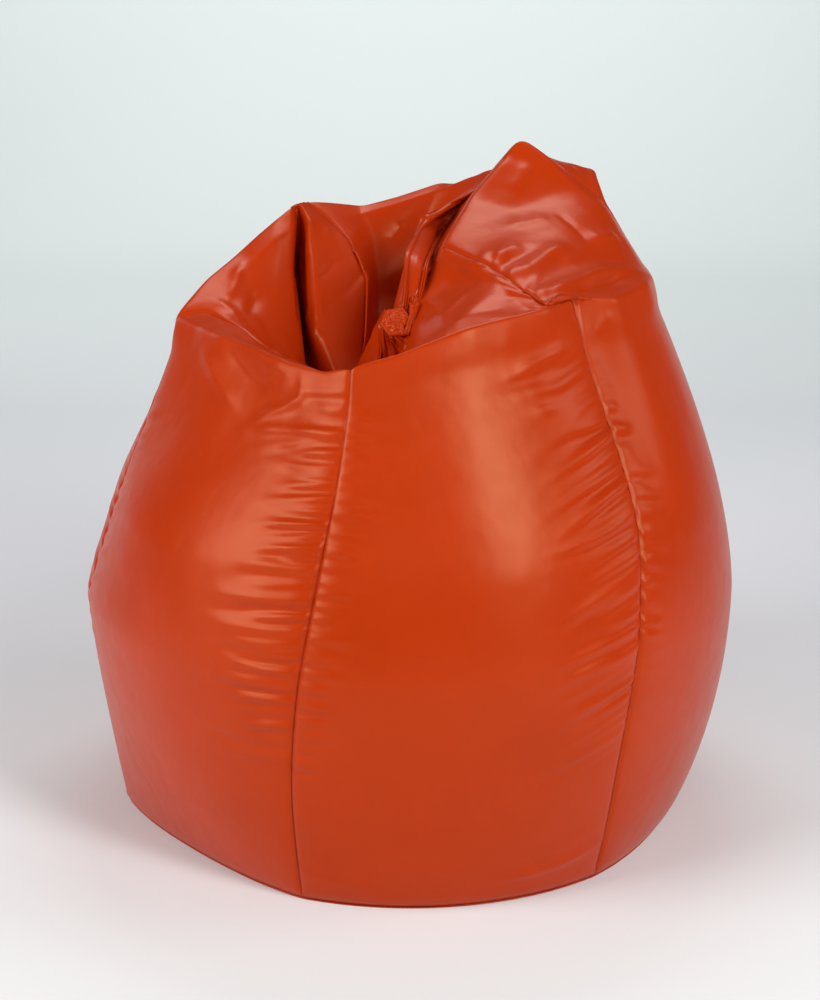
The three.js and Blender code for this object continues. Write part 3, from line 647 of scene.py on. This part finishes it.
def foam_beads():
    """Packed white beads, as a cell pattern that stands out: each bead white in its middle, with painted shade
    greying it towards the gaps between beads.
    """
    material, tree, shader = new_material("foam_beads")
    place = tree.nodes.new("ShaderNodeTexCoord").outputs["Object"]
    cells = tree.nodes.new("ShaderNodeTexVoronoi")
    cells.inputs["Scale"].default_value = 260.0
    tree.links.new(place, cells.inputs["Vector"])
    # painted shade: the ramp greys each bead from its middle towards the gaps between beads
    tree.links.new(link_ramp(tree, cells.outputs["Distance"], ((0.0, (0.9, 0.9, 0.88)), (0.8, (0.5, 0.5,
        0.49)))),
                   shader.inputs["Base Color"])
    inward = tree.nodes.new("ShaderNodeMath")
    inward.operation = "SUBTRACT"
    inward.inputs[0].default_value = 1.0
    tree.links.new(cells.outputs["Distance"], inward.inputs[1])
    tree.links.new(link_bump(tree, inward.outputs[0], 0.8, 0.003), shader.inputs["Normal"])
    shader.inputs["Roughness"].default_value = 0.8
    return material


MATERIALS = {}


def material_of(name):
    """Each finish is made once."""
    makers = {
        "cover": coated_cloth,
        "stitching": sewing_thread,
        "tape": lambda: woven("zip_tape_weave", (0.3, 0.03, 0.008), (0.5, 0.06, 0.015), 500.0),
        "teeth": moulded_teeth,
        "zip_metal": plated_metal,
        "liner": lambda: woven("liner_weave", (0.68, 0.66, 0.6), (0.85, 0.83, 0.78), 350.0),
        "beads": foam_beads,
    }
    if name not in MATERIALS:
        MATERIALS[name] = makers[name]()
    return MATERIALS[name]


# ---- Operators ----

class BEANBAG_OT_side_panels(bpy.types.Operator):
    """Cuts the six side panels from the shared surface, with their edges turned in"""
    bl_idname = "beanbag.side_panels"
    bl_label = "Side panels"

    def execute(self, context):
        sizes = context.scene.cover_sizes
        skin = surface()
        for panel in range(PANELS):
            columns = panel_columns(panel)
            part = skin["grid"][columns]
            edges = []
            for end, other in ((0, 1), (-1, -2)):
                inward = part[other] - part[end]
                inward /= np.maximum(np.linalg.norm(inward, axis=1, keepdims=True), 1e-9)
                part[end] = part[end] + inward * SEAM_GAP
                edges.append(part[end] - skin["steady"][columns[end]] * sizes.allowance + inward * SEAM_GAP)
            part = np.concatenate([edges[0][None], part, edges[1][None]])
            foot = part[:, :1] * (1 - sizes.allowance / np.linalg.norm(part[:, :1, :2], axis=2,
                keepdims=True))
            foot[:, :, 2] = FOOT
            cap = part[:, -1:] - np.array(CAP_NORMAL) * sizes.allowance
            part = np.concatenate([foot, part, cap], axis=1)
            name = f"side_panel_{panel + 1}"
            faces = grid_faces(*part.shape[:2])
            piece = new_piece(f"{name}_cloth", part.reshape(-1, 3), faces, material_of("cover"))
            thicken(piece, sizes.cloth)
            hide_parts(name)
        return {"FINISHED"}


def panel_columns(panel):
    """The grid's columns across one panel, both seams included."""
    count = surface()["count"]
    return [(panel * count + i) % (PANELS * count) for i in range(count + 1)]


class BEANBAG_OT_side_stitching(bpy.types.Operator):
    """Sews the side panels together with a line of short stitches in each groove"""
    bl_idname = "beanbag.side_stitching"
    bl_label = "Side stitching"

    def execute(self, context):
        skin = surface()
        for seam in range(PANELS):
            column = seam * skin["count"]
            path = skin["grid"][column] + skin["normals"][column] * 0.0002
            sew(f"side_stitches_{seam + 1}", path, skin["normals"][column],
                f"side_seam_stitching_{seam + 1}")
        return {"FINISHED"}


def one_stitch():
    """Models a single stitch: a short rod along X whose ends narrow and dip under the cloth."""
    bpy.ops.object.select_all(action="DESELECT")
    bpy.ops.mesh.primitive_cylinder_add(vertices=6, radius=THREAD_RADIUS, depth=0.6 * STITCH_LENGTH)
    rod = bpy.context.object
    bpy.ops.object.mode_set(mode="EDIT")
    bpy.ops.mesh.select_all(action="SELECT")
    bpy.ops.transform.rotate(value=math.pi / 2, orient_axis="Y", center_override=(0, 0, 0))
    bpy.ops.mesh.select_mode(type="FACE")
    for end in (-1, 1):
        for reach, dip, girth in ((0.12, 0.5, 0.85), (0.08, 0.9, 0.5)):
            bpy.ops.mesh.select_all(action="DESELECT")
            bpy.ops.object.mode_set(mode="OBJECT")
            outermost = max(face.center.x * end for face in rod.data.polygons)
            for face in rod.data.polygons:
                face.select = face.center.x * end > outermost - 1e-6
            bpy.ops.object.mode_set(mode="EDIT")
            shift = (end * reach * STITCH_LENGTH, 0, -dip * THREAD_RADIUS)
            bpy.ops.mesh.extrude_region_move(TRANSFORM_OT_translate={"value": shift})
            bpy.ops.transform.resize(value=(1, girth, girth), center_override=(0, 0, -dip * THREAD_RADIUS))
    bpy.ops.object.mode_set(mode="OBJECT")
    mesh = rod.data
    points = np.array([point.co for point in mesh.vertices])
    faces = [tuple(face.vertices) for face in mesh.polygons]
    bpy.data.objects.remove(rod)
    bpy.data.meshes.remove(mesh)
    return points, faces


def sew(name, path, out, node, closed=False):
    """A line of copies of one stitch along a path, as one piece that stands for a node."""
    if closed:
        path = np.concatenate([path, path[:1]])
        out = np.concatenate([out, out[:1]])
    steps = np.concatenate([[0], np.cumsum(np.linalg.norm(np.diff(path, axis=0), axis=1))])
    number = int(steps[-1] / STITCH_PITCH)
    places = (np.arange(number) + 0.5) * steps[-1] / number

    def at(values, where):
        return np.stack([np.interp(where, steps, values[:, axis]) for axis in range(3)], axis=1)

    ahead = at(path, places + STITCH_LENGTH / 2) - at(path, places - STITCH_LENGTH / 2)
    ahead /= np.linalg.norm(ahead, axis=1, keepdims=True)
    side = np.cross(at(out, places), ahead)
    side /= np.linalg.norm(side, axis=1, keepdims=True)
    up = np.cross(ahead, side)
    shape, shape_faces = one_stitch()
    points = at(path, places)[:, None] + sum(
        shape[:, axis:axis + 1] * direction[:, None] for axis, direction in enumerate((ahead, side, up)))
    faces = [tuple(corner + i * len(shape) for corner in face) for i in range(number) for face in shape_faces]
    piece = new_piece(name, points.reshape(-1, 3), faces, material_of("stitching"))
    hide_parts(node)
    return piece


def tube_faces(first, rings, sides):
    """Faces of a tube whose rings follow each other round a loop."""
    faces = []
    for i in range(rings):
        for j in range(sides):
            a, b = first + i * sides, first + (i + 1) % rings * sides
            faces.append((a + j, b + j, b + (j + 1) % sides, a + (j + 1) % sides))
    return faces


class BEANBAG_OT_top_cap(bpy.types.Operator):
    """Gathers the small top cap and sews it on"""
    bl_idname = "beanbag.top_cap"
    bl_label = "Top cap"

    def execute(self, context):
        sizes = context.scene.cover_sizes
        rounds = np.arange(0, PANELS, 1 / 16)
        rim = cap_ring(rounds)
        centre = np.array(CAP_CENTRE)
        turn = rounds * math.pi / 3
        rings = []
        for share in (0.05, 0.14, 0.24, 0.34, 0.44, 0.54, 0.64, 0.74, 0.83, 0.91, 0.97):
            swirl = turn + 0.9 * share
            lift = 0.0042 * math.sqrt(1 - share ** 2) + 0.0011 * math.sin(share * 15)
            lift = lift + 0.0011 * share * (1 - share) * 4 * np.sin(7 * swirl + 3 * share)
            rings.append(centre + (rim - centre) * share + np.array(CAP_NORMAL) * lift[:, None])
        rings.append(rings[-1] - np.array(CAP_NORMAL) * sizes.allowance)
        points = np.stack(rings, axis=1).reshape(-1, 3)
        wide, tall = len(rounds), len(rings)
        faces = [(i * tall + j, i * tall + j + 1, (i + 1) % wide * tall + j + 1, (i + 1) % wide * tall + j)
                 for i in range(wide) for j in range(tall - 1)]
        faces.append(tuple(i * tall for i in range(wide)))
        piece = new_piece("top_cap_cloth", points, faces, material_of("cover"))
        thicken(piece, sizes.cloth * 0.7)
        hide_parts("top_cap")
        out = np.repeat(np.array(CAP_NORMAL)[None], wide, axis=0)
        sew("top_cap_stitches", rim + out * 0.0002, out, "cap_seam_stitching", closed=True)
        return {"FINISHED"}


def zip_lift(across):
    """How high the base stands beside the zip."""
    return ZIP_RISE * smoothstep((ZIP_HALF + 0.01 + 0.028 - np.abs(across)) / 0.028)


class BEANBAG_OT_base(bpy.types.Operator):
    """Makes the base's two halves with their lifted, hemmed edges beside the zip, and sews them to the sides"""
    bl_idname = "beanbag.base"
    bl_label = "Base"

    def execute(self, context):
        sizes = context.scene.cover_sizes
        foot = surface()["grid"][:, 0]
        turn = np.arctan2(foot[:, 0], -foot[:, 1])
        order = np.argsort(turn)
        reach = np.hypot(foot[:, 0], foot[:, 1]) - 0.001

        def reach_at(angle):
            return float(np.interp(angle, turn[order], reach[order], period=2 * math.pi))

        for name, side in (("base_front_half", -1), ("base_rear_half", 1)):
            columns = []
            for angle in np.linspace(-math.pi / 2, math.pi / 2, 121):
                across = reach_at(math.copysign(math.pi / 2, angle)) * math.sin(angle)
                rim = reach_at(angle if side < 0 else math.pi - angle)
                slot = 0.0005 + 0.008 * zip_lift(across) / ZIP_RISE
                span = max(rim * math.cos(angle) - slot, 0.0005)
                hem = np.array([0, 0.0008, 0.01, 0.0175, 0.024]) * min(1, span / 0.05)
                offsets = np.concatenate([hem, hem[-1] + (span - hem[-1]) * np.linspace(0.08, 1, 14)])
                places = across + (rim * math.sin(angle) - across) * offsets / span
                lifts = np.array([1, 1, 1, 0.5, 0] + [0] * 14) * zip_lift(places)
                columns.append(np.stack([places, side * (slot + offsets), lifts], axis=1))
            grid = np.array(columns)
            faces = grid_faces(*grid.shape[:2])
            if side > 0:
                faces = [face[::-1] for face in faces]
            piece = new_piece(f"{name}_cloth", grid.reshape(-1, 3), faces, material_of("cover"))
            thicken(piece, sizes.cloth)
            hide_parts(name)
        out = np.stack([foot[:, 0], foot[:, 1], 0 * foot[:, 2]], axis=1)
        out /= np.linalg.norm(out, axis=1, keepdims=True)
        sew("base_stitches", np.stack([foot[:, 0], foot[:, 1], 0 * turn + 0.0025],
            axis=1) - out * 0.0012, out,
            "base_seam_stitching", closed=True)
        return {"FINISHED"}


class BEANBAG_OT_zip_tapes(bpy.types.Operator):
    """Weaves the two tapes that carry the zip"""
    bl_idname = "beanbag.zip_tapes"
    bl_label = "Zip tapes"

    def execute(self, context):
        for name, side in (("zip_tape_front", -1), ("zip_tape_rear", 1)):
            grid = np.array([[
                (across, side * depth, 0.0099 + 0.00012 * math.sin(across * 260) * (depth > 0.003))
                for depth in (0.0016, 0.0024, 0.0032, 0.008, 0.0125, 0.0166)]
                for across in np.linspace(-ZIP_HALF, ZIP_HALF, 161)])
            faces = grid_faces(*grid.shape[:2])
            if side > 0:
                faces = [face[::-1] for face in faces]
            piece = new_piece(f"{name}_weave", grid.reshape(-1, 3), faces, material_of("tape"))
            thicken(piece, 0.0006)
            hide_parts(name)
        return {"FINISHED"}


class BEANBAG_OT_filling(bpy.types.Operator):
    """Fills the cover with its inner liner, the cord round the liner's neck and the beads"""
    bl_idname = "beanbag.filling"
    bl_label = "Liner and filling"

    def execute(self, context):
        beads = closed_bag("bead_fill", 0.016, 0.0143, 0.46, "beads", 56, 64)
        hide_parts("bead_filling")
        liner = closed_bag("liner_cloth", 0.0105, 0.0130, 0.485, "liner", 96, 96)
        thicken(liner, 0.0004)
        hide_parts("liner_bag")
        tie = tie_cord()
        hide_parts("liner_tie")
        return {"FINISHED"}


def closed_bag(name, inset, low, high, slot, wide, tall):
    """A closed bag that lies inside the cover and closes in a dome at the top."""
    sizes = bpy.context.scene.cover_sizes
    dome = high - 0.09
    rows = []
    for share in np.linspace(0, 1, tall):
        height = low + (high - low) * share
        turn = np.degrees(np.linspace(0, 2 * math.pi, wide, endpoint=False))
        radius = side_profile((turn + 180) % 360 - 180, min(height, dome),
            sizes.belly_radius) - inset - 0.026
        if height > dome:
            fall = (height - dome) / (high - dome)
            radius = 0.05 + (radius - 0.05) * math.sqrt(max(1 - fall ** 1.6, 0))
        radius = radius * (1 - 0.02 * math.exp(-(height - low) / 0.01))
        radius = radius + 0.0016 * np.sin(np.radians(turn) * 19 + height * 30) * (share > 0) * (share < 1)
        rows.append(np.stack([radius * np.sin(np.radians(turn)), -radius * np.cos(np.radians(turn)),
                              0 * turn + height], axis=1))
    points = np.concatenate(rows + [np.array([[0, 0, low], [0, 0, high]])])
    faces = [(j * wide + i, j * wide + (i + 1) % wide, (j + 1) * wide + (i + 1) % wide, (j + 1) * wide + i)
             for j in range(tall - 1) for i in range(wide)]
    last = (tall - 1) * wide
    faces += [(tall * wide, (i + 1) % wide, i) for i in range(wide)]
    faces += [(tall * wide + 1, last + i, last + (i + 1) % wide) for i in range(wide)]
    return new_piece(name, points, faces, material_of(slot))


def tie_cord():
    """Three strands laid together round the liner's neck."""
    low, high = (Vector(corner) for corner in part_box("liner_tie"))
    middle = (low + high) / 2
    middle.z = 0.47
    ring = (high.x - low.x) / 2 - 0.0025
    points, faces = [], []
    steps, sides = 180, 6
    for strand in range(3):
        first = len(points)
        for i in range(steps):
            turn = 2 * math.pi * i / steps
            twist = 2 * math.pi * (strand / 3 + 24 * i / steps)
            radius = ring + 0.0011 * math.cos(twist)
            for j in range(sides):
                around = 2 * math.pi * j / sides
                out = radius + 0.0012 * math.cos(around)
                points.append((middle.x + out * math.sin(turn), middle.y - out * math.cos(turn),
                               middle.z + 0.0011 * math.sin(twist) + 0.0012 * math.sin(around)))
        faces += tube_faces(first, steps, sides)
    return new_piece("liner_tie_cord", points, faces, material_of("stitching"))


class BEANBAG_OT_finishes(bpy.types.Operator):
    """Gives the hard pieces that are kept from the solid model their finishes"""
    bl_idname = "beanbag.finishes"
    bl_label = "Finishes"

    def execute(self, context):
        for part in frame["record"]["subparts"]:
            for place in frame["nodes"][part["node"]].material_slots:
                place.material = material_of(part["material_slot"])
        return {"FINISHED"}


class BEANBAG_OT_stage(bpy.types.Operator):
    """Builds the pale sweep, the soft lights and the camera"""
    bl_idname = "beanbag.stage"
    bl_label = "Stage"

    def execute(self, context):
        settings = context.scene.stage_settings
        build_sweep()
        build_lights(context.scene)
        aim = Vector((0, 0, 0.402))
        back = Vector((0, -math.cos(settings.elevation), math.sin(settings.elevation)))
        data = bpy.data.cameras.new("camera")
        data.lens = settings.lens
        camera = bpy.data.objects.new("camera", data)
        camera.location = aim + back * settings.distance
        camera.rotation_euler = (math.pi / 2 - settings.elevation, 0, 0)
        context.scene.collection.objects.link(camera)
        context.scene.camera = camera
        context.scene.view_settings.view_transform = "Standard"
        return {"FINISHED"}


def build_sweep():
    """A floor that curves up into a low wall far behind, greyer in the middle distance: painted shade, the
    paper's tone by distance standing in for how the light falls on it.
    """
    turn, radius = 3.4, 1.6
    profile = [(-5.0, 0.0), (-2.0, 0.0), (turn, 0.0)]
    for i in range(1, 13):
        angle = math.pi / 2 * i / 12
        profile.append((turn + radius * math.sin(angle), radius * (1 - math.cos(angle))))
    count = len(profile)
    mesh = bpy.data.meshes.new("sweep")
    points = [(x, y, z) for x in (-6.0, 6.0) for y, z in profile]
    mesh.from_pydata(points, [], [(j, count + j, count + j + 1, j + 1) for j in range(count - 1)])
    mesh.polygons.foreach_set("use_smooth", [True] * len(mesh.polygons))
    sweep = bpy.data.objects.new("sweep", mesh)
    bpy.context.scene.collection.objects.link(sweep)
    material, tree, shader = new_material("sweep_paper")
    place = tree.nodes.new("ShaderNodeTexCoord").outputs["Object"]
    split = tree.nodes.new("ShaderNodeSeparateXYZ")
    tree.links.new(place, split.inputs[0])
    depth = tree.nodes.new("ShaderNodeMapRange")
    depth.inputs["From Min"].default_value = -1.0
    depth.inputs["From Max"].default_value = 5.0
    tree.links.new(split.outputs["Y"], depth.inputs["Value"])
    # painted shade and light: lighter near the chair, greyer in the middle distance, lighter again up the wall
    paper = link_ramp(tree, depth.outputs["Result"], (
        (0.08, (0.86, 0.89, 0.89)), (0.20, (0.79, 0.80, 0.82)), (0.34, (0.75, 0.75, 0.79)),
        (0.50, (0.66, 0.69, 0.71)), (0.80, (0.76, 0.82, 0.81))))
    tree.links.new(paper, shader.inputs["Base Color"])
    shader.inputs["Roughness"].default_value = 0.9
    shader.inputs["Specular IOR Level"].default_value = 0.1
    mesh.materials.append(material)


def soft_light(name, place, aim, size, power):
    data = bpy.data.lights.new(name, "AREA")
    data.shape = "RECTANGLE"
    data.size, data.size_y = size
    data.energy = power
    data.spread = math.pi
    lamp = bpy.data.objects.new(name, data)
    lamp.location = place
    lamp.rotation_euler = (Vector(aim) - Vector(place)).to_track_quat("-Z", "Y").to_euler()
    bpy.context.scene.collection.objects.link(lamp)


def build_lights(scene):
    """Soft boxes all round and overhead, one on the paper behind, and dim light from everywhere."""
    soft_light("left_box", (-2.8, -1.5, 1.9), (0, 0, 0.5), (2.0, 2.3), 88)
    soft_light("right_box", (1.9, -2.4, 2.3), (0, 0, 0.5), (0.9, 2.5), 84)
    soft_light("side_box", (2.6, -0.3, 2.0), (0, 0, 0.6), (1.2, 1.4), 15)
    soft_light("front_box", (-0.4, -4.2, 1.9), (0, 0, 0.4), (2.4, 1.4), 9)
    soft_light("top_box", (0.1, 1.1, 2.6), (0.1, 0, 0.7), (1.4, 0.5), 15)
    soft_light("back_box", (-2.4, 3.0, 1.5), (0, 0, 0.4), (2.0, 1.0), 6)
    soft_light("paper_light", (0.0, 2.3, 3.3), (0, 5.0, 1.0), (5.0, 1.0), 108)
    world = bpy.data.worlds.new("studio")
    world.use_nodes = True
    world.node_tree.nodes["Background"].inputs["Color"].default_value = (1.0, 0.97, 0.94, 1)
    world.node_tree.nodes["Background"].inputs["Strength"].default_value = 0.05
    scene.world = world


class BEANBAG_PT_panel(bpy.types.Panel):
    """Lists the sizes and the steps"""
    bl_label = "Bean Bag"
    bl_idname = "BEANBAG_PT_panel"
    bl_space_type = "VIEW_3D"
    bl_region_type = "UI"
    bl_category = "Bean Bag"

    def draw(self, context):
        scene = context.scene
        for settings in (scene.cover_sizes, scene.cover_look, scene.stage_settings):
            box = self.layout.box()
            for name in settings.__annotations__:
                box.prop(settings, name)
        for step in STEPS:
            self.layout.operator(step.bl_idname)


STEPS = (
    BEANBAG_OT_side_panels, BEANBAG_OT_side_stitching, BEANBAG_OT_top_cap, BEANBAG_OT_base,
        BEANBAG_OT_zip_tapes,
    BEANBAG_OT_filling, BEANBAG_OT_finishes, BEANBAG_OT_stage)
CLASSES = (CoverSizes, CoverLook, StageSettings) + STEPS + (BEANBAG_PT_panel,)


def register():
    for item in CLASSES:
        bpy.utils.register_class(item)
    bpy.types.Scene.cover_sizes = bpy.props.PointerProperty(type=CoverSizes)
    bpy.types.Scene.cover_look = bpy.props.PointerProperty(type=CoverLook)
    bpy.types.Scene.stage_settings = bpy.props.PointerProperty(type=StageSettings)


def unregister():
    del bpy.types.Scene.stage_settings
    del bpy.types.Scene.cover_look
    del bpy.types.Scene.cover_sizes
    for item in reversed(CLASSES):
        bpy.utils.unregister_class(item)


def main():
    register()
    for step in STEPS:
        family, name = step.bl_idname.split(".")
        getattr(getattr(bpy.ops, family), name)()


if __name__ == "__main__":
    main()
